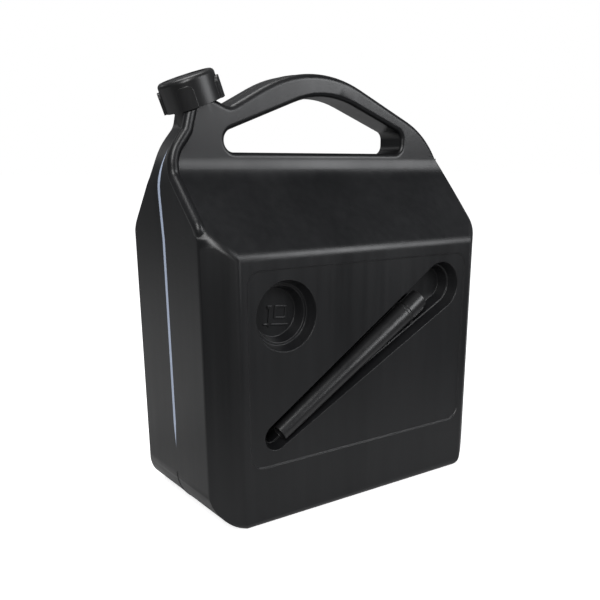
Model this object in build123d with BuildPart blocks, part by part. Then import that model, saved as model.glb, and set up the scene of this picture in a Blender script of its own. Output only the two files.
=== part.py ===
from build123d import *
from math import cos, hypot, radians, sin, tan
import os

# A 10 litre fuel jerrycan, blow-moulded in one piece, with its screw cap, the
# sealing disc in the cap and the pouring spout that lies in a slot in the front.
# Millimetres. X runs along the width, with the neck at -X. The front faces -Y.
# The can stands on z = 0 and the origin is under the middle of its base.

# Tank: a deep box with chamfered corners that slopes in to a thin slab on top
width = 296
depth = 158
height = 368.2
wall = 2.2
corner_in_x = 23
corner_in_y = 20
corner_front_radius = 8
corner_end_radius = 4
foot_radius = 10
end_foot_radius = 34.5
corner_foot_radius = 12
brow_height = 229
brow_radius = 13
slope_angle = 46
fold_radius = 26
slab_thickness = 34
slab_edge_radius = 5
corner_top_radius = 12
corner_bend_radius = 30
left_corner_start = 242
left_corner_top = 286.8
left_corner_in = 29.6
right_corner_start = 238
right_corner_top = 298
right_corner_in = 40.8

# Side outline of the slab: two shoulders and the arched grip between them
left_shoulder_height = 298
left_shoulder_radius = 60
left_shoulder_angle = 50
right_shoulder_radius = 84
grip_rise_angle = 27.2
grip_fall_angle = 23.8
grip_top_x = -10
grip_top_radius = 118
grip_foot_x = -92.5
grip_foot_radius = 8

# Finger opening
opening_floor = 304
opening_left = -98
opening_right = 90
opening_left_height = 319.5
opening_right_height = 322.3
opening_rise_angle = 20.2
opening_fall_angle = 20.9
opening_left_radius = 9
opening_right_radius = 8
opening_top_radius = 90
opening_edge_radius = 4

# Bead that runs from under the cap down the front edge of the left end
bead_radius = 4.6
bead_inset = 3.2
bead_sink = 1.8
bead_foot = (-141, -53.5, 235)
bead_foot_radius = 8
bead_brow_y = 57
bead_fold_radius = 12
bead_shoulder_radius = 24
bead_shoulder_z = 302.5
bead_root = (-131.5, -16.2, 319.5)
bead_root_radius = 12
bead_end = (-125.6, -15.4, 339)

# Neck, tilted away from the grip. Heights on it are counted from the cap's rim. The
# slab rises round it to a seat just under the rim.
neck_tilt = 20
neck_x = -115.2
neck_z = 339.5
neck_radius = 17.6
neck_shoulder_height = 1.5
neck_seat_gap = 0.7
neck_seat_left = -9.9
neck_seat_right = 12.4
neck_seat_angle = 78
neck_seat_radius = 14
neck_root_height = -12
neck_foot_height = -23
neck_foot_radius = 14
finish_radius = 17.2
finish_height = 18.2
thread_height = 2.6
bore_radius = 14.6
bore_foot_height = -21
bore_foot_radius = 12

# Cap
cap_radius = 23.2
thread_clearance = 0.4
cap_height = 22.6
cap_top_thickness = 2.4
cap_edge_radius = 3.4
cap_dish_radius = 18.5
cap_dish_depth = 0.8
grip_count = 4
grip_radius = 25.2
grip_width = 13.6
grip_height = 16.6
grip_corner_radius = 4.5
grip_phase = 53.7

# Sealing disc, a flat ring pressed between the cap and the neck
seal_clearance = 0.4
seal_overlap = 1.6

# Shallow panel pressed into the front
panel_width = 235
panel_bottom = 54.4
panel_top = 216.1
panel_corner_radius = 12
panel_depth = 1

# Both recesses go down in two steps, with a draft on the walls
step_depth = 10
floor_depth = 19.5
draft = 18

# Round recess
dial_x = -81.2
dial_z = 178.6
dial_radius = 29
dial_ledge_width = 2.4

# Slot for the spout, wider at one end
slot_small_x = -92.7
slot_small_z = 78.4
slot_small_radius = 11.5
slot_big_x = 88.5
slot_big_z = 187.5
slot_big_radius = 22
slot_ledge_width = 1

# Spout: a tapered tube, a collar, a groove and a plug that fits the neck
spout_length = 184.5
spout_tip_radius = 7.5
spout_root_radius = 10.2
spout_wall = 1.5
spout_collar_radius = 10.7
spout_collar_start = 161.5
spout_groove_start = 163.7
spout_groove_end = 165.3
spout_groove_radius = 8.9
spout_plug_radius = 9.5
spout_plug_wall = 1.6
spout_end_chamfer = 0.8
spout_key_width = 3
spout_key_height = 0.9
spout_key_end = 180
spout_lug_height = 3.2
spout_lug_length = 3.6
spout_lug_width = 4
spout_start = 5
spout_tip_depth = 4.5
spout_tip_drop = 1.9
spout_plug_rise = 0.8
spout_gap = 0.2

half_width = width / 2
half_depth = depth / 2
half_slab = slab_thickness / 2
reach = 2 * height
cap_bore_radius = finish_radius + thread_height + thread_clearance
beside_neck = neck_x + 8
panel_y = -half_depth + panel_depth
slope_run = half_depth - half_slab
slab_start = brow_height + slope_run / tan(radians(slope_angle))
fold_top = slab_start + fold_radius * tan(radians(slope_angle / 2))

# Planes: side view, end view, plan, panel and the tilted frame of the neck
side = Plane.XZ
end = Plane.YZ
plan = Plane.XY
panel = Plane(origin=(0, panel_y, 0), x_dir=(1, 0, 0), z_dir=(0, -1, 0))
neck = Plane(
    origin=(neck_x, 0, neck_z),
    x_dir=(cos(radians(neck_tilt)), 0, sin(radians(neck_tilt))),
    z_dir=(-sin(radians(neck_tilt)), 0, cos(radians(neck_tilt))),
)
neck_side = Plane(origin=neck.origin, x_dir=neck.x_dir, z_dir=(0, -1, 0))
neck_axis = Axis(neck.origin, neck.z_dir)


def line_through(point, angle):
    """Return slope and offset of the line z = slope * x + offset."""
    slope = tan(radians(angle))
    return slope, point[1] - slope * point[0]


def crossing(first, second):
    """Return the point where two such lines cross."""
    x = (second[1] - first[1]) / (first[0] - second[0])
    return x, first[0] * x + first[1]


def sharp_top(top, radius, rise, fall):
    """Return the corner of two lines whose rounding has its crest at top."""
    half_turn = radians((rise + fall) / 2)
    lean = radians((rise - fall) / 2)
    reach_up = radius / cos(half_turn) - radius
    return top[0] - reach_up * sin(lean), top[1] + reach_up * cos(lean)


def side_outline():
    """Side outline of the can without its opening, as a list of corners and radii."""
    top = sharp_top((grip_top_x, height), grip_top_radius, grip_rise_angle, grip_fall_angle)
    rise = line_through(top, grip_rise_angle)
    fall = line_through(top, -grip_fall_angle)
    shoulder = line_through((-half_width, left_shoulder_height), left_shoulder_angle)
    seat_left = neck_side.from_local_coords((neck_seat_left, -neck_seat_gap))
    seat_right = neck_side.from_local_coords((neck_seat_right, -neck_seat_gap))
    seat_side = line_through((seat_left.X, seat_left.Z), neck_seat_angle)
    corners = [
        (-half_width, 0),
        (-half_width, left_shoulder_height),
        crossing(shoulder, seat_side),
        (seat_left.X, seat_left.Z),
        (seat_right.X, seat_right.Z),
        (grip_foot_x, rise[0] * grip_foot_x + rise[1]),
        top,
        (half_width, fall[0] * half_width + fall[1]),
        (half_width, 0),
    ]
    radii = [
        end_foot_radius,
        left_shoulder_radius,
        neck_seat_radius,
        0,
        0,
        grip_foot_radius,
        grip_top_radius,
        right_shoulder_radius,
        end_foot_radius,
    ]
    return corners, radii


def opening_outline():
    """Finger opening: flat floor, rounded ends and an arched top."""
    rise = line_through((opening_left, opening_left_height), opening_rise_angle)
    fall = line_through((opening_right, opening_right_height), -opening_fall_angle)
    corners = [
        (opening_left, opening_floor),
        (opening_left, opening_left_height),
        crossing(rise, fall),
        (opening_right, opening_right_height),
        (opening_right, opening_floor),
    ]
    radii = [
        opening_left_radius,
        opening_left_radius,
        opening_top_radius,
        opening_right_radius,
        opening_right_radius,
    ]
    return corners, radii


def end_outline():
    """End view: a foot, straight walls, a brow, a slope and the slab."""
    right = [
        (half_depth, 0),
        (half_depth, brow_height),
        (half_slab, slab_start),
        (half_slab, reach),
    ]
    corners = right + [(-y, z) for y, z in reversed(right)]
    radii = [foot_radius, brow_radius, fold_radius, 0]
    return corners, radii + radii[::-1]


def plan_outline():
    """Plan: a rectangle with its four corners cut off and rounded."""
    quarter = [
        (half_width - corner_in_x, half_depth, corner_front_radius),
        (half_width, half_depth - corner_in_y, corner_end_radius),
    ]
    corners = []
    for sx, sy in [(1, 1), (1, -1), (-1, -1), (-1, 1)]:
        pair = [((sx * x, sy * y), r) for x, y, r in quarter]
        corners += pair if sx * sy > 0 else pair[::-1]
    return [c for c, r in corners], [r for c, r in corners]


def corner_outline():
    """Section square to a cut corner. It is rounded at the base and leans in at the slope."""
    across = hypot(corner_in_x, corner_in_y)
    reach_out = corner_in_y * (half_width - corner_in_x) + corner_in_x * half_depth
    half = reach_out / across
    corners = [
        (half, 0),
        (half, right_corner_start),
        (half - right_corner_in, right_corner_top),
        (half - right_corner_in, reach),
        (-half + left_corner_in, reach),
        (-half + left_corner_in, left_corner_top),
        (-half, left_corner_start),
        (-half, 0),
    ]
    bend = corner_bend_radius
    return corners, [corner_foot_radius, bend, 0, 0, 0, 0, bend, corner_foot_radius]


def bar(plane, outline, length, inset=0):
    """Bar through the middle of a plane, with an outline drawn smaller by the inset."""
    corners, radii = outline
    with BuildPart() as part:
        with BuildSketch(plane.offset(-length / 2)):
            with BuildLine():
                FilletPolyline(*corners, radius=radii, close=True)
            make_face()
            if inset:
                offset(amount=-inset, kind=Kind.INTERSECTION)
        extrude(amount=length)
    return part.part


def corner_plane(turn):
    """Upright plane square to the pair of cut corners on one diagonal."""
    across = hypot(corner_in_x, corner_in_y)
    x_dir = (corner_in_y / across, turn * corner_in_x / across, 0)
    return Plane(origin=(0, 0, 0), x_dir=x_dir, z_dir=(x_dir[1], -x_dir[0], 0))


def edge_cut(to_first, to_second, middle, radius, length):
    """Sliver outside the rounding of an edge, given the directions its two faces look in."""
    lean = radians(to_first.get_angle(to_second))
    across = Plane(origin=middle, x_dir=to_first, z_dir=to_first.cross(to_second))
    side_run = radius * tan(lean / 2)
    depth_in = 0.985 * radius
    center = (-depth_in, -depth_in * tan(lean / 2))
    second = (-side_run * sin(lean), side_run * cos(lean))
    with BuildPart() as part:
        with BuildSketch(across.offset(-length / 2)):
            with BuildLine():
                Polyline(
                    (0, -side_run),
                    (radius, -side_run),
                    (2 * radius * cos(lean / 2), 2 * radius * sin(lean / 2)),
                    (second[0] + radius * cos(lean), second[1] + radius * sin(lean)),
                    second,
                    center,
                    close=True,
                )
            make_face()
            with Locations(center):
                Circle(radius, mode=Mode.SUBTRACT)
        extrude(amount=length)
    return part.part


def on_slope(x, y):
    """Point of the front or back slope, given its place in plan."""
    return x, y, brow_height + (half_depth - abs(y)) / tan(radians(slope_angle))


def corner_top_cut(sx, sy):
    """Rounding where a cut corner meets the slope."""
    to_slope = Vector(0, sy * cos(radians(slope_angle)), sin(radians(slope_angle)))
    to_corner = Vector(sx * corner_in_y, sy * corner_in_x, 0).normalized()
    middle = on_slope(sx * (half_width - corner_in_x / 2), sy * (half_depth - corner_in_y / 2))
    return edge_cut(to_slope, to_corner, middle, corner_top_radius, depth)


def on_slab_face(edge):
    """Tell whether an edge lies in the front or back face of the slab."""
    box = edge.bounding_box()
    flat = box.max.Y - box.min.Y < 0.01
    return flat and abs(abs(edge.center().Y) - half_slab) < 0.01


def tank_form(inset=0):
    """Tank, shoulders and slab in one sharp-edged form, smaller all round by the inset."""
    bars = [
        bar(corner_plane(-1), corner_outline(), reach, inset),
        bar(plan, plan_outline(), 2 * reach, inset),
        bar(end, end_outline(), 2 * width, inset),
        bar(side, side_outline(), 2 * depth, inset),
    ]
    with BuildPart() as form:
        add(bar(corner_plane(1), corner_outline(), reach, inset))
        for item in bars:
            add(item, mode=Mode.INTERSECT)
    return form.part


def grip_slab():
    """The slab above the fold, its upper edges rounded from the neck to the fold."""
    with BuildPart() as form:
        add(bar(side, side_outline(), slab_thickness))
        split(bisect_by=plan.offset(fold_top), keep=Keep.TOP)
        upper = form.edges().filter_by(on_slab_face)
        upper = upper.filter_by(lambda e: e.center().Z > opening_floor)
        fillet(upper.filter_by(lambda e: e.center().X > beside_neck), radius=slab_edge_radius)
    return form.part


def panel_cut(grow=0):
    """Shallow rectangular panel in the front."""
    with BuildPart() as part:
        with BuildSketch(panel.offset(-grow)):
            with Locations((0, (panel_bottom + panel_top) / 2)):
                RectangleRounded(
                    panel_width + 2 * grow,
                    panel_top - panel_bottom + 2 * grow,
                    panel_corner_radius + grow,
                )
        extrude(amount=4 * panel_depth + grow, taper=-40)
    return part.part


def steps(radius, ledge):
    """Distances and depths of a recess with two drafted walls and a ledge."""
    lean = tan(radians(draft))
    ledge_edge = radius - step_depth * lean
    floor_edge = ledge_edge - ledge - (floor_depth - step_depth) * lean
    return [
        (radius + 2 * panel_depth * lean, -2 * panel_depth),
        (ledge_edge, step_depth),
        (ledge_edge - ledge, step_depth),
        (floor_edge, floor_depth),
    ]


def dial_cut(grow=0):
    """Round recess in two steps."""
    middle = Plane(origin=(dial_x, panel_y, dial_z), x_dir=(1, 0, 0), z_dir=(0, 0, 1))
    wall_points = [(r + grow, d + grow) for r, d in steps(dial_radius, dial_ledge_width)]
    with BuildPart() as part:
        with BuildSketch(middle):
            with BuildLine():
                Polyline(
                    (0, wall_points[0][1]),
                    *wall_points,
                    (0, wall_points[-1][1]),
                    close=True,
                )
            make_face()
        revolve(axis=Axis((dial_x, 0, dial_z), (0, 1, 0)))
    return part.part


def slot_cut(grow=0):
    """Tapered slot with round ends in two steps."""
    levels = steps(slot_small_radius, slot_ledge_width)
    spread = slot_big_radius - slot_small_radius
    with BuildPart() as part:
        for first, second in (levels[0:2], levels[2:4]):
            for r, d in (first, second):
                with BuildSketch(panel.offset(-d - grow)):
                    with Locations((slot_small_x, slot_small_z)):
                        Circle(r + grow)
                    with Locations((slot_big_x, slot_big_z)):
                        Circle(r + spread + grow)
                    make_hull()
            loft(ruled=True)
    return part.part


def bead():
    """Half-round bead from the cut corner up the slope and the shoulder to the cap."""
    lean = radians(slope_angle)
    sink = Vector(0, cos(lean), -sin(lean)) * bead_sink
    out_x = -half_width + bead_inset
    path = [
        bead_foot,
        Vector(on_slope(out_x, -bead_brow_y)) + sink,
        (out_x, -half_slab, slab_start - bead_sink / sin(lean)),
        (out_x, -half_slab, bead_shoulder_z),
        bead_root,
        bead_end,
    ]
    bends = [bead_foot_radius, bead_fold_radius, bead_shoulder_radius, bead_root_radius]
    with BuildPart() as part:
        with BuildLine() as line:
            FilletPolyline(*path, radius=bends)
        with BuildSketch(Plane(origin=line.line @ 0, z_dir=line.line % 0)):
            Circle(bead_radius)
        sweep()
        split(bisect_by=neck.offset(-neck_seat_gap), keep=Keep.BOTTOM)
    return part.part


# Space inside: the form less its wall, kept clear of the opening and the recesses
inner_form = tank_form(wall)
inner_cuts = [
    bar(side, opening_outline(), 2 * depth, -wall),
    panel_cut(wall),
    dial_cut(wall),
    slot_cut(wall),
]
with BuildPart() as inside:
    add(inner_form)
    for item in inner_cuts:
        add(item, mode=Mode.SUBTRACT)

# Tank with grip, bead and neck, all one moulding
outer_form = tank_form()
slab = grip_slab()
opening = bar(side, opening_outline(), 2 * depth)
edge_cuts = [corner_top_cut(sx, sy) for sx in (-1, 1) for sy in (-1, 1)]
recesses = [panel_cut(), dial_cut(), slot_cut()]
with BuildPart() as body:
    add(outer_form)
    split(bisect_by=plan.offset(fold_top), keep=Keep.BOTTOM)
    add(slab)
    add(opening, mode=Mode.SUBTRACT)
    rim = body.edges(Select.LAST).filter_by(on_slab_face)
    fillet(rim, radius=opening_edge_radius)
    for item in edge_cuts + recesses:
        add(item, mode=Mode.SUBTRACT)
    add(bead())
    with BuildSketch(neck_side):
        with BuildLine():
            Polyline(
                (0, neck_foot_height),
                (neck_foot_radius, neck_foot_height),
                (neck_radius, neck_root_height),
                (neck_radius, neck_shoulder_height - 1),
                (finish_radius, neck_shoulder_height),
                (finish_radius, finish_height),
                (0, finish_height),
                close=True,
            )
        make_face()
    revolve(axis=neck_axis)
    add(inside.part, mode=Mode.SUBTRACT)
    with BuildSketch(neck_side):
        with BuildLine():
            Polyline(
                (0, bore_foot_height),
                (bore_foot_radius, bore_foot_height),
                (bore_radius, neck_root_height),
                (bore_radius, 2 * finish_height),
                (0, 2 * finish_height),
                close=True,
            )
        make_face()
    revolve(axis=neck_axis, mode=Mode.SUBTRACT)

# Raised grips round the cap's lower edge
with BuildPart() as grips:
    for index in range(grip_count):
        turn = grip_phase + index * 360 / grip_count
        outward = neck.x_dir.rotate(Axis((0, 0, 0), neck.z_dir), turn)
        start = neck.origin + outward * cap_bore_radius
        tangent = Plane(origin=start, x_dir=neck.z_dir.cross(outward), z_dir=outward)
        with BuildSketch(tangent):
            with Locations((0, grip_height / 2)):
                Rectangle(grip_width, grip_height)
            fillet(vertices().group_by(Axis.Y)[-1], radius=grip_corner_radius)
        extrude(amount=grip_radius - cap_bore_radius + grip_corner_radius)
    with BuildSketch(neck):
        Circle(grip_radius)
    extrude(amount=cap_height, mode=Mode.INTERSECT)

# Screw cap
with BuildPart() as cap:
    with BuildSketch(neck):
        Circle(cap_radius)
    extrude(amount=cap_height)
    fillet(cap.edges().sort_by(neck_axis)[-1], radius=cap_edge_radius)
    add(grips.part)
    with BuildSketch(neck.offset(cap_height)):
        Circle(cap_dish_radius)
    extrude(amount=-cap_dish_depth, mode=Mode.SUBTRACT)
    with BuildSketch(neck):
        Circle(cap_bore_radius)
    extrude(amount=cap_height - cap_top_thickness, mode=Mode.SUBTRACT)

# Sealing disc
with BuildPart() as cap_seal:
    with BuildSketch(neck.offset(finish_height)):
        Circle(cap_bore_radius - seal_clearance)
        Circle(bore_radius - seal_overlap, mode=Mode.SUBTRACT)
    extrude(amount=cap_height - cap_top_thickness - finish_height)

# Spout, laid in the slot with its tip at the small end. Its tip lies between the
# slot's walls and its collar lies on the floor.
slot_run = Vector(slot_big_x - slot_small_x, 0, slot_big_z - slot_small_z).normalized()
slot_up = Vector(-slot_run.Z, 0, slot_run.X)
slot_origin = Vector(slot_small_x, panel_y, slot_small_z)
collar_depth = floor_depth - spout_collar_radius - spout_gap
sink = (collar_depth - spout_tip_depth) / spout_groove_start
plug_depth = spout_tip_depth + sink * spout_length
inward = Vector(0, 1, 0)
tip = slot_origin + slot_run * spout_start - slot_up * spout_tip_drop + inward * spout_tip_depth
plug_run = spout_start + spout_length
plug = slot_origin + slot_run * plug_run + slot_up * spout_plug_rise + inward * plug_depth
spout_plane = Plane(origin=tip, x_dir=(0, -1, 0), z_dir=plug - tip)
spout_profile = Plane(origin=tip, x_dir=spout_plane.x_dir, z_dir=-spout_plane.y_dir)
plug_bore = spout_plug_radius - spout_plug_wall
groove_bore = spout_groove_radius - spout_wall
with BuildPart() as spout:
    with BuildSketch(spout_profile):
        with BuildLine():
            Polyline(
                (spout_tip_radius - spout_wall, 0),
                (spout_tip_radius, 0),
                (spout_root_radius, spout_collar_start),
                (spout_collar_radius, spout_collar_start),
                (spout_collar_radius, spout_groove_start),
                (spout_groove_radius, spout_groove_start),
                (spout_groove_radius, spout_groove_end),
                (spout_plug_radius, spout_groove_end),
                (spout_plug_radius, spout_length - spout_end_chamfer),
                (spout_plug_radius - spout_end_chamfer, spout_length),
                (plug_bore, spout_length),
                (plug_bore, spout_groove_end + spout_wall),
                (groove_bore, spout_groove_end),
                (groove_bore, spout_groove_start - spout_wall),
                (spout_root_radius - spout_wall, spout_collar_start - 2 * spout_wall),
                close=True,
            )
        make_face()
    revolve(axis=Axis(tip, spout_plane.z_dir))
    with BuildSketch(spout_plane.offset(spout_groove_end)):
        with Locations(Rotation(0, 0, 45) * Pos(spout_plug_radius, 0)):
            Rectangle(2 * spout_key_height, spout_key_width)
    extrude(amount=spout_key_end - spout_groove_end)
    with BuildSketch(spout_plane.offset(spout_groove_start)):
        with Locations((0, spout_root_radius + spout_lug_height / 2 - 0.5)):
            Rectangle(spout_lug_width, spout_lug_height + 1)
    extrude(amount=spout_lug_length)

os.makedirs("parts", exist_ok=True)
body.part.label = "body"
export_step(body.part, "parts/body.step")
cap.part.label = "cap"
export_step(cap.part, "parts/cap.step")
cap_seal.part.label = "cap_seal"
export_step(cap_seal.part, "parts/cap_seal.step")
spout.part.label = "spout"
export_step(spout.part, "parts/spout.step")
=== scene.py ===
from math import cos, pi, radians, sin

import bmesh
import bpy
from mathutils import Matrix, Vector


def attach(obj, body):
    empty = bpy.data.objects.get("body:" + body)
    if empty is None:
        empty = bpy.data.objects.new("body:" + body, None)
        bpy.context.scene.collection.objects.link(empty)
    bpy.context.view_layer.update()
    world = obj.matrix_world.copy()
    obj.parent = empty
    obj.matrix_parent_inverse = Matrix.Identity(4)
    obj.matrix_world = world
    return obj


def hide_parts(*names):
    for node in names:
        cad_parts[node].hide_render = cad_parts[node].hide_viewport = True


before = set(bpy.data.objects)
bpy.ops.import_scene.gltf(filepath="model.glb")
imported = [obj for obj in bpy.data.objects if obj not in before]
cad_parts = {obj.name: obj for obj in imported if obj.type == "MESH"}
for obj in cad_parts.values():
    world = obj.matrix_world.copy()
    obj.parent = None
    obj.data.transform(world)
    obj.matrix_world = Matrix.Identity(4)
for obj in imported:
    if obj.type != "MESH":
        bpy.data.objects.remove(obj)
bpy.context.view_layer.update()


# Tank: one blow-moulded shell of black polyethylene, with the grip, the neck, the
# bead, the panel and both recesses. It is satin from the mould, a little cloudy,
# and its edges are all slightly rounded and rubbed.
TANK_COLOUR = (0.0055, 0.0057, 0.0063, 1)
TANK_CLOUD = (0.0100, 0.0102, 0.0110, 1)
TANK_RUBBED = (0.030, 0.030, 0.031, 1)
TANK_ROUGHNESS = 0.34
TANK_SHINE = 0.42
TANK_EDGE = 0.0011
STRIP_COLOUR = (0.46, 0.53, 0.68, 1)
STRIP_HALF_WIDTH = 0.0021
STRIP_FOOT = 0.058
STRIP_STRAIGHT_TO = 0.25
STRIP_TOP = 0.306
STRIP_TAPER = 0.022
STRIP_SIDE = {"foot": -0.0010, "head": 0.0006}
STRIP_BOW = 0.0036
STRIP_BOW_RISES = (0.236, 0.272)
STRIP_BOW_FALLS = (0.303, 0.278)
STRIP_END_FACE = -0.12
SHARPEST_SMOOTH_EDGE = radians(26)
NECK_TILT = radians(20)
NECK_MIDDLE = Vector((-0.1152, 0, 0.3395))
NECK_AXIS = Vector((-sin(NECK_TILT), 0, cos(NECK_TILT)))
NECK_OUTWARD = Vector((cos(NECK_TILT), 0, sin(NECK_TILT)))
NECK_FLUSH_REACH = 0.0052
NECK_FLUSH_FROM = 0.302
NECK_FLUSH_RUN = (-0.05, 0.002)
SLAB_HALF = 0.017


def smooth_copy(node_name, piece_name):
    """Copy of a CAD node as one merged mesh, smooth on its curves and crisp at its edges."""
    mesh = bmesh.new()
    mesh.from_mesh(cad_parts[node_name].data)
    bmesh.ops.remove_doubles(mesh, verts=mesh.verts, dist=1e-6)
    for face in mesh.faces:
        face.smooth = True
    for edge in mesh.edges:
        joined = len(edge.link_faces) == 2
        edge.smooth = joined and edge.calc_face_angle() < SHARPEST_SMOOTH_EDGE
    piece = mesh_piece(mesh, piece_name)
    flat_first = piece.modifiers.new("flat_faces_stay_flat", "WEIGHTED_NORMAL")
    flat_first.keep_sharp = True
    flat_first.weight = 100
    return piece


def mesh_piece(mesh, piece_name):
    """Object made of a finished bmesh, which is used up."""
    data = bpy.data.meshes.new(piece_name)
    mesh.to_mesh(data)
    mesh.free()
    if "custom_normal" in data.attributes:
        data.attributes.remove(data.attributes["custom_normal"])
    piece = bpy.data.objects.new(piece_name, data)
    bpy.context.scene.collection.objects.link(piece)
    return piece


def paint(piece, material):
    """Give a piece its one material."""
    piece.data.materials.clear()
    piece.data.materials.append(material)


def node(tree, kind, inputs=None, **settings):
    """Add a shader node. An input is a value or the socket that feeds it."""
    made = tree.nodes.new("ShaderNode" + kind)
    for name, value in settings.items():
        setattr(made, name, value)
    for name, value in (inputs or {}).items():
        if isinstance(value, bpy.types.NodeSocket):
            tree.links.new(value, made.inputs[name])
        else:
            made.inputs[name].default_value = value
    return made


def maths(tree, operation, first, second=0.0, third=0.0, clamp=False):
    """Add a Math node and return its result."""
    inputs = {0: first, 1: second, 2: third}
    return node(tree, "Math", inputs, operation=operation, use_clamp=clamp).outputs[0]


def ramp(tree, value, limits, results=(0.0, 1.0)):
    """Value that runs from one result to the other while the input passes its limits."""
    inputs = {"Value": value, "From Min": limits[0], "From Max": limits[1]}
    inputs.update({"To Min": results[0], "To Max": results[1]})
    return node(tree, "MapRange", inputs).outputs[0]


def blend_colours(tree, factor, first, second):
    """Mix two colours and return the result."""
    mixed = node(tree, "Mix", data_type="RGBA")
    for socket, value in zip((0, 6, 7), (factor, first, second)):
        if isinstance(value, bpy.types.NodeSocket):
            tree.links.new(value, mixed.inputs[socket])
        else:
            mixed.inputs[socket].default_value = value
    return mixed.outputs[2]


def effect_group(name, inputs, outputs):
    """Start a shader node group with named number inputs and outputs."""
    group = bpy.data.node_groups.new(name, "ShaderNodeTree")
    for label, value in inputs.items():
        socket = group.interface.new_socket(label, in_out="INPUT", socket_type="NodeSocketFloat")
        socket.default_value = value
    for label, kind in outputs.items():
        group.interface.new_socket(label, in_out="OUTPUT", socket_type="NodeSocket" + kind)
    entry = group.nodes.new("NodeGroupInput").outputs
    end = group.nodes.new("NodeGroupOutput").inputs
    return group, entry, end


def noise(tree, place, scale, detail):
    """Add a Noise texture and return its values."""
    return node(tree, "TexNoise", {"Vector": place, "Scale": scale, "Detail": detail}).outputs[0]


def moulded_skin():
    """Skin of a moulding: fine grain, a soft orange peel, and clouds drawn out upwards."""
    inputs = {"Grain Scale": 1500.0, "Peel Scale": 230.0, "Cloud Scale": 14.0}
    group, entry, end = effect_group(
        "moulded_skin", inputs, {"Tone": "Float", "Height": "Float"}
    )
    place = node(group, "TexCoord").outputs["Object"]
    grain = noise(group, place, entry["Grain Scale"], 3.0)
    peel = noise(group, place, entry["Peel Scale"], 1.0)
    drawn = node(group, "Mapping", {"Vector": place, "Scale": (1.0, 1.0, 0.3)}).outputs[0]
    cloud = noise(group, drawn, entry["Cloud Scale"], 4.0)
    drawn_far = node(group, "Mapping", {"Vector": place, "Scale": (1.0, 1.0, 0.03)}).outputs[0]
    lines = noise(group, drawn_far, 160.0, 2.0)
    tone = maths(group, "MULTIPLY_ADD", lines, 0.3, maths(group, "MULTIPLY", cloud, 0.7))
    height = maths(group, "MULTIPLY_ADD", grain, 0.35, maths(group, "MULTIPLY", peel, 0.65))
    group.links.new(ramp(group, tone, (0.35, 0.65)), end["Tone"])
    group.links.new(height, end["Height"])
    return group


def rubbed_edges():
    """Rounding of sharp edges in the shading, and a mask of where they are rubbed."""
    inputs = {"Radius": 0.001, "Breakup Scale": 90.0}
    group, entry, end = effect_group(
        "rubbed_edges", inputs, {"Rubbed": "Float", "Normal": "Vector"}
    )
    rounded = node(group, "Bevel", {"Radius": entry["Radius"]}, samples=6).outputs[0]
    true = node(group, "NewGeometry").outputs["Normal"]
    facing = node(group, "VectorMath", {0: rounded, 1: true}, operation="DOT_PRODUCT")
    bend = ramp(group, facing.outputs["Value"], (0.995, 0.86))
    place = node(group, "TexCoord").outputs["Object"]
    patches = noise(group, place, entry["Breakup Scale"], 4.0)
    worn = ramp(group, patches, (0.35, 0.7))
    group.links.new(maths(group, "MULTIPLY", bend, worn, clamp=True), end["Rubbed"])
    group.links.new(rounded, end["Normal"])
    return group


SKIN = moulded_skin()
EDGES = rubbed_edges()


ROUGHNESS_SPREAD = 0.09


def moulded_plastic(
    name, colours, roughness, shine, edge_radius, grain_scale=1500.0, depth=0.00006
):
    """Moulded plastic in a plain, a clouded and a rubbed colour."""
    material = bpy.data.materials.new(name)
    material.use_nodes = True
    tree = material.node_tree
    shader = tree.nodes["Principled BSDF"]
    skin = node(tree, "Group", node_tree=SKIN)
    skin.inputs["Grain Scale"].default_value = grain_scale
    edges = node(tree, "Group", node_tree=EDGES)
    edges.inputs["Radius"].default_value = edge_radius
    colour = blend_colours(tree, skin.outputs["Tone"], colours[0], colours[1])
    colour = blend_colours(tree, edges.outputs["Rubbed"], colour, colours[2])
    tree.links.new(colour, shader.inputs["Base Color"])
    least = roughness - ROUGHNESS_SPREAD / 2
    rough = maths(tree, "MULTIPLY_ADD", skin.outputs["Tone"], ROUGHNESS_SPREAD, least)
    tree.links.new(rough, shader.inputs["Roughness"])
    shader.inputs["Specular IOR Level"].default_value = shine
    bump = node(tree, "Bump", {"Height": skin.outputs["Height"]})
    tree.links.new(edges.outputs["Normal"], bump.inputs["Normal"])
    bump.inputs["Strength"].default_value = 0.5
    bump.inputs["Distance"].default_value = depth
    tree.links.new(bump.outputs[0], shader.inputs["Normal"])
    return material


def strip_mask(tree):
    """Mask of the level strip, a pale band on the parting line of the left end."""
    place = node(tree, "SeparateXYZ", {0: node(tree, "TexCoord").outputs["Object"]})
    across, side, height = place.outputs
    rise = ramp(tree, height, STRIP_BOW_RISES)
    bow = maths(tree, "MULTIPLY", rise, ramp(tree, height, STRIP_BOW_FALLS))
    straight = (STRIP_FOOT, STRIP_STRAIGHT_TO)
    lean = ramp(tree, height, straight, (STRIP_SIDE["foot"], STRIP_SIDE["head"]))
    middle = maths(tree, "MULTIPLY_ADD", bow, STRIP_BOW, lean)
    off_line = maths(tree, "ABSOLUTE", maths(tree, "SUBTRACT", side, middle))
    up = maths(tree, "DIVIDE", maths(tree, "SUBTRACT", height, STRIP_FOOT), STRIP_TAPER)
    down = maths(tree, "DIVIDE", maths(tree, "SUBTRACT", STRIP_TOP, height), STRIP_TAPER)
    taper = maths(tree, "MINIMUM", maths(tree, "MINIMUM", up, down), 1.0)
    half = maths(tree, "MULTIPLY", taper, STRIP_HALF_WIDTH)
    inside = maths(tree, "SUBTRACT", half, off_line)
    band = ramp(tree, inside, (-0.0002, 0.0003))
    on_end = maths(tree, "LESS_THAN", across, STRIP_END_FACE)
    return maths(tree, "MULTIPLY", band, on_end)


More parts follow.
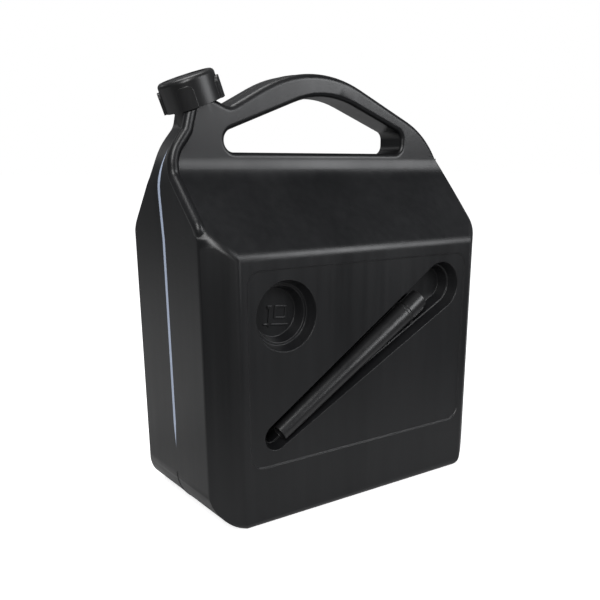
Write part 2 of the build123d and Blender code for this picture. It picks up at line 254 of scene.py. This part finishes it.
tank_plastic = moulded_plastic(
    "tank_plastic",
    (TANK_COLOUR, TANK_CLOUD, TANK_RUBBED),
    TANK_ROUGHNESS,
    TANK_SHINE,
    TANK_EDGE,
)
tree = tank_plastic.node_tree
skin_colour = tree.nodes["Principled BSDF"].inputs["Base Color"]
plain_colour = skin_colour.links[0].from_socket
tree.links.new(blend_colours(tree, strip_mask(tree), plain_colour, STRIP_COLOUR), skin_colour)


def press_neck_flush(piece):
    """Bring the foot of the neck flush with both faces of the slab it grows out of."""
    for vert in piece.data.vertices:
        out = vert.co - NECK_MIDDLE
        near_axis = abs(out.dot(NECK_OUTWARD)) < NECK_FLUSH_REACH
        below_cap = NECK_FLUSH_RUN[0] < out.dot(NECK_AXIS) < NECK_FLUSH_RUN[1]
        if near_axis and below_cap and vert.co.z > NECK_FLUSH_FROM:
            vert.co.y = max(-SLAB_HALF, min(SLAB_HALF, vert.co.y))


tank = smooth_copy("body", "tank_shell")
press_neck_flush(tank)
paint(tank, tank_plastic)
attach(tank, "can")
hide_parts("body")


# Parting line: where the two halves of the mould met, a fine raised seam runs round
# the outside of the tank in its own plastic. It stops at the neck, at the strip and
# just above the foot.
SEAM_RADIUS = 0.0004
SEAM_LOWEST = 0.003
SEAM_BELOW_STRIP = 0.004
STRIP_END = -0.11
NECK_KEEP_OUT = 0.024


def middle_section(piece):
    """Chains of points where the middle plane of the can cuts a piece."""
    mesh = bmesh.new()
    mesh.from_mesh(piece.data)
    everything = mesh.verts[:] + mesh.edges[:] + mesh.faces[:]
    bmesh.ops.bisect_plane(
        mesh,
        geom=everything,
        dist=1e-7,
        plane_co=(0, 0, 0),
        plane_no=(0, 1, 0),
        clear_inner=True,
        clear_outer=True,
    )
    bmesh.ops.remove_doubles(mesh, verts=mesh.verts, dist=1e-5)
    chains = []
    waiting = set(mesh.verts)
    while waiting:
        first = min(waiting, key=lambda v: (v.co.z, v.co.x))
        chain = [first]
        waiting.discard(first)
        step = first
        while step:
            around = [e.other_vert(step) for e in step.link_edges]
            step = next((v for v in around if v in waiting), None)
            if step:
                chain.append(step)
                waiting.discard(step)
        if len(chain) > 8:
            chains.append([v.co.copy() for v in chain])
    mesh.free()
    return chains


def has_seam(point):
    """Tell whether the seam shows at a point of the outside, clear of strip, foot and neck."""
    along = (point - NECK_MIDDLE).dot(NECK_AXIS)
    aside = ((point - NECK_MIDDLE) - NECK_AXIS * along).length
    on_neck = along > -0.002 and aside < NECK_KEEP_OUT
    on_strip = point.x < STRIP_END and point.z > STRIP_FOOT - SEAM_BELOW_STRIP
    return point.z > SEAM_LOWEST and not on_neck and not on_strip


def outside_runs(chain):
    """Parts of a closed chain that carry the seam, from its lowest point up both sides."""
    runs = [[]]
    for point in chain:
        if has_seam(point):
            runs[-1].append(point)
        elif runs[-1]:
            runs.append([])
    return [run for run in runs if len(run) > 2]


def seam(points, name):
    """Fine round seam along an open run of points, made a mesh."""
    line = bpy.data.curves.new(name, "CURVE")
    line.dimensions = "3D"
    line.bevel_depth = SEAM_RADIUS
    line.bevel_resolution = 1
    line.use_fill_caps = True
    spline = line.splines.new("POLY")
    spline.points.add(len(points) - 1)
    for target, point in zip(spline.points, points):
        target.co = (*point, 1)
    holder = bpy.data.objects.new(name + "_line", line)
    bpy.context.scene.collection.objects.link(holder)
    bpy.context.view_layer.update()
    data = bpy.data.meshes.new_from_object(holder)
    bpy.data.objects.remove(holder)
    piece = bpy.data.objects.new(name, data)
    bpy.context.scene.collection.objects.link(piece)
    for face in data.polygons:
        face.use_smooth = True
    return piece


lowest_chain = min(middle_section(tank), key=lambda chain: min(point.z for point in chain))
for number, run in enumerate(outside_runs(lowest_chain)):
    parting_line = seam(run, "parting_line_%d" % number)
    paint(parting_line, tank_plastic)
    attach(parting_line, "can")


# Figures: a 10 for the litres, raised in the floor of the round recess with a line
# under it. The stem of the 1 runs down through the line.
FIGURE_FLOOR = -0.0585
FIGURE_HEIGHT = 0.0010
FIGURE_BEVEL = 0.0004
FIGURE_LEAN = radians(5.5)
FIGURE_MIDDLE = Vector((-0.0800, FIGURE_FLOOR, 0.1775))


def raised_bar(mesh, left, right, foot, top):
    """Flat bar on the recess floor, its sides given in millimetres from the figures' middle."""
    made = bmesh.ops.create_cube(mesh, size=1)
    size = ((right - left) / 1000, 2 * FIGURE_HEIGHT, (top - foot) / 1000)
    bmesh.ops.scale(mesh, verts=made["verts"], vec=size)
    middle = FIGURE_MIDDLE + Vector(((left + right) / 2000, 0, (foot + top) / 2000))
    bmesh.ops.translate(mesh, verts=made["verts"], vec=middle)


def raised_ring(mesh, width, height, stroke, middle):
    """Upright oblong ring on the recess floor, for the zero."""
    made = bmesh.ops.create_cube(mesh, size=1)
    size = (width / 1000, 2 * FIGURE_HEIGHT, height / 1000)
    bmesh.ops.scale(mesh, verts=made["verts"], vec=size)
    place = FIGURE_MIDDLE + Vector((middle[0] / 1000, 0, middle[1] / 1000))
    bmesh.ops.translate(mesh, verts=made["verts"], vec=place)
    faces = {face for vert in made["verts"] for face in vert.link_faces}
    flat = [face for face in faces if abs(face.normal.y) > 0.9]
    bmesh.ops.inset_individual(mesh, faces=flat, thickness=stroke / 1000)
    loops = []
    for face in flat:
        loops += face.edges[:]
    bmesh.ops.delete(mesh, geom=flat, context="FACES_ONLY")
    bmesh.ops.bridge_loops(mesh, edges=loops)


figures = bmesh.new()
raised_bar(figures, -6.9, -4.1, -11.0, 6.8)
raised_bar(figures, -8.8, -6.9, 4.0, 6.8)
raised_ring(figures, 12.1, 11.4, 2.7, (4.4, 1.5))
raised_bar(figures, -11.5, -6.9, -9.7, -8.0)
raised_bar(figures, -4.1, 12.5, -9.7, -8.0)
bmesh.ops.remove_doubles(figures, verts=figures.verts, dist=1e-6)
bmesh.ops.recalc_face_normals(figures, faces=figures.faces)
upright = [edge for edge in figures.edges if edge.is_manifold and edge.calc_face_angle() > 1]
bmesh.ops.bevel(
    figures,
    geom=upright,
    offset=FIGURE_BEVEL,
    affect="EDGES",
    segments=2,
    profile=0.5,
    material=-1,
)
lean = Matrix.Rotation(FIGURE_LEAN, 3, "Y")
bmesh.ops.rotate(figures, verts=figures.verts, cent=FIGURE_MIDDLE, matrix=lean)
raised_figures = mesh_piece(figures, "raised_figures")
paint(raised_figures, tank_plastic)
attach(raised_figures, "can")


# Thread: a coarse screw thread moulded round the neck, and the one inside the cap
# that runs in it. It shows under the cap's rim when the cap is unscrewed.
THREAD_PITCH = 0.005
THREAD_TURNS = 2.0
THREAD_STEPS = 48
THREAD_WIDTH = 0.0019
THREAD_FLANK_SHARE = 0.28


def thread(name, root, crest, start):
    """Helical ridge between two radii round the neck's axis, turned from a small section."""
    mesh = bmesh.new()
    flank = THREAD_WIDTH * THREAD_FLANK_SHARE
    profile = [(root, 0), (crest, flank), (crest, THREAD_WIDTH - flank), (root, THREAD_WIDTH)]
    corners = [
        mesh.verts.new(NECK_MIDDLE + NECK_OUTWARD * radius + NECK_AXIS * (start + along))
        for radius, along in profile
    ]
    section = mesh.faces.new(corners)
    bmesh.ops.spin(
        mesh,
        geom=[section],
        cent=NECK_MIDDLE,
        axis=NECK_AXIS,
        dvec=NECK_AXIS * THREAD_PITCH / THREAD_STEPS,
        angle=2 * pi * THREAD_TURNS,
        steps=int(THREAD_STEPS * THREAD_TURNS),
        use_duplicate=False,
    )
    bmesh.ops.recalc_face_normals(mesh, faces=mesh.faces)
    return mesh_piece(mesh, name)


cap_plastic = moulded_plastic(
    "cap_plastic",
    ((0.0085, 0.0085, 0.0090, 1), (0.0130, 0.0130, 0.0135, 1), (0.034, 0.034, 0.034, 1)),
    roughness=0.34,
    shine=0.45,
    edge_radius=0.0005,
    grain_scale=2200.0,
)
neck_thread = thread("neck_thread", root=0.0170, crest=0.0193, start=0.0040)
paint(neck_thread, tank_plastic)
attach(neck_thread, "can")
cap_thread = thread("cap_thread", root=0.0204, crest=0.0180, start=0.0015)
paint(cap_thread, cap_plastic)
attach(cap_thread, "turn")


# Screw cap: injection-moulded, with four raised grips round its rim and a shallow
# dish in its top. It is harder and a little glossier than the tank.
cap = smooth_copy("cap", "screw_cap")
paint(cap, cap_plastic)
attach(cap, "turn")
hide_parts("cap")


# Sealing disc: a flat ring of soft black rubber, dull and slightly dusty.
seal_rubber = moulded_plastic(
    "seal_rubber",
    ((0.020, 0.020, 0.020, 1), (0.032, 0.032, 0.031, 1), (0.045, 0.045, 0.044, 1)),
    roughness=0.72,
    shine=0.3,
    edge_radius=0.0003,
    grain_scale=3000.0,
)
seal = smooth_copy("cap_seal", "sealing_disc")
paint(seal, seal_rubber)
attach(seal, "lift")
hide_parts("cap_seal")


# Spout: a tapered injection-moulded tube with a collar, a groove, a lug and a keyed
# end, smoother and glossier than the tank, lying in its slot.
spout_plastic = moulded_plastic(
    "spout_plastic",
    ((0.0080, 0.0080, 0.0085, 1), (0.0115, 0.0115, 0.0120, 1), (0.034, 0.034, 0.034, 1)),
    roughness=0.31,
    shine=0.55,
    edge_radius=0.0006,
    grain_scale=2600.0,
    depth=0.00001,
)
spout = smooth_copy("spout", "pouring_spout")
paint(spout, spout_plastic)
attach(spout, "can")
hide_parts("spout")


# Studio: a pale floor that runs to a white background, and in the can's gloss a painted pool of
# light near and behind the can with painted shade towards the front, low softboxes at the front
# right and the front left, a soft one overhead and a weak one that lights the floor behind the
# can.
FLOOR_SIZE = 15
FLOOR_COLOUR = (0.80, 0.80, 0.80, 1)
# Painted shade and painted light of the floor, seen only in the can's gloss, and where the
# painted pool of light lies near and behind the can.
FLOOR_PAINTED_SHADE = (0.07, 0.07, 0.07, 1)
FLOOR_PAINTED_LIGHT = (0.55, 0.55, 0.55, 1)
FLOOR_GLOW = 0.75
FLOOR_NEAR = (0.62, 0.12)
FLOOR_BEHIND = (-0.1, 0.25)
FLOOR_FADE = (0.5, 2.0)
FILL_STRENGTH = 0.14


def pale_floor_painted_light():
    """Matt floor, pale to the camera; in the can's gloss it shows a painted pool of light near
    and behind the can and painted shade towards the front.
    """
    material = bpy.data.materials.new("pale_floor_painted_light")
    material.use_nodes = True
    tree = material.node_tree
    shader = tree.nodes["Principled BSDF"]
    shader.inputs["Roughness"].default_value = 0.9
    shader.inputs["Specular IOR Level"].default_value = 0.0
    shader.inputs["Emission Color"].default_value = (1, 1, 1, 1)
    seen = node(tree, "LightPath").outputs["Is Camera Ray"]
    place = node(tree, "TexCoord").outputs["Object"]
    far = node(tree, "VectorMath", {0: place}, operation="LENGTH").outputs["Value"]
    # Painted pool of light: the floor's colour in reflections is lighter near the can and behind
    # it, and painted darker towards the front.
    near = ramp(tree, far, FLOOR_NEAR)
    behind = ramp(tree, node(tree, "SeparateXYZ", {0: place}).outputs["Y"], FLOOR_BEHIND)
    lit = maths(tree, "MAXIMUM", near, behind)
    shaded = blend_colours(tree, lit, FLOOR_PAINTED_SHADE, FLOOR_PAINTED_LIGHT)
    tree.links.new(blend_colours(tree, seen, shaded, FLOOR_COLOUR), shader.inputs["Base Color"])
    rise = ramp(tree, far, FLOOR_FADE, (FLOOR_GLOW, 1.0))
    glow = maths(tree, "MULTIPLY", seen, rise)
    tree.links.new(glow, shader.inputs["Emission Strength"])
    return material


floor_mesh = bmesh.new()
bmesh.ops.create_grid(floor_mesh, x_segments=1, y_segments=1, size=FLOOR_SIZE)
floor = mesh_piece(floor_mesh, "floor")
paint(floor, pale_floor_painted_light())

world = bpy.data.worlds.new("studio")
bpy.context.scene.world = world
world.use_nodes = True
tree = world.node_tree
tree.nodes.clear()
seen = node(tree, "LightPath").outputs
shown = maths(tree, "MAXIMUM", seen["Is Camera Ray"], seen["Is Transmission Ray"])
white = node(tree, "Background", {"Color": (1, 1, 1, 1), "Strength": 1.0})
fill = node(tree, "Background", {"Color": (0.95, 0.97, 1.0, 1), "Strength": FILL_STRENGTH})
mixed = node(tree, "MixShader", {0: shown, 1: fill.outputs[0], 2: white.outputs[0]})
node(tree, "OutputWorld", {"Surface": mixed.outputs[0]})


def softbox(name, place, aim, size, power, colour=(1, 1, 1)):
    """Rectangular area lamp that looks at a point."""
    lamp = bpy.data.lights.new(name, "AREA")
    lamp.shape = "RECTANGLE"
    lamp.size, lamp.size_y = size
    lamp.energy = power
    lamp.color = colour
    holder = bpy.data.objects.new(name, lamp)
    bpy.context.scene.collection.objects.link(holder)
    holder.location = place
    holder.rotation_euler = (Vector(aim) - Vector(place)).to_track_quat("-Z", "Y").to_euler()
    holder.visible_camera = False


COOL_WHITE = (0.97, 0.98, 1.0)
softbox("front_softbox", (0.92, -1.31, 0.80), (0, 0, 0.40), (1.0, 0.75), 15, COOL_WHITE)
softbox("camera_softbox", (-1.10, -1.24, 1.20), (-0.13, -0.02, 0.32), (0.6, 1.5), 30)
softbox("top_softbox", (-0.25, 0.35, 1.6), (0, 0, 0.2), (1.0, 0.8), 12)
softbox("floor_softbox", (-0.9, 1.5, 1.1), (-0.5, 0.6, 0), (0.8, 0.5), 1.2)


# Camera: at the photograph's place, found from the can's upright edges and circles.
CAMERA_PLACE = Vector((-0.40886, -0.57547, 0.29772))
CAMERA_TURN = radians(36.234)
CAMERA_DOWN = radians(16.667)
CAMERA_ROLL = radians(0.169)
CAMERA_SENSOR = 36
CAMERA_LENS = 45.37
CAMERA_SHIFT = (-0.0405, 0.1452)

camera_data = bpy.data.cameras.new("camera")
camera = bpy.data.objects.new("camera", camera_data)
bpy.context.scene.collection.objects.link(camera)
camera_data.sensor_width = CAMERA_SENSOR
camera_data.lens = CAMERA_LENS
camera_data.shift_x, camera_data.shift_y = CAMERA_SHIFT
camera.matrix_world = (
    Matrix.Translation(CAMERA_PLACE)
    @ Matrix.Rotation(-CAMERA_TURN, 4, "Z")
    @ Matrix.Rotation(pi / 2 - CAMERA_DOWN, 4, "X")
    @ Matrix.Rotation(CAMERA_ROLL, 4, "Z")
)
bpy.context.scene.camera = camera
bpy.context.scene.view_settings.view_transform = "Standard"
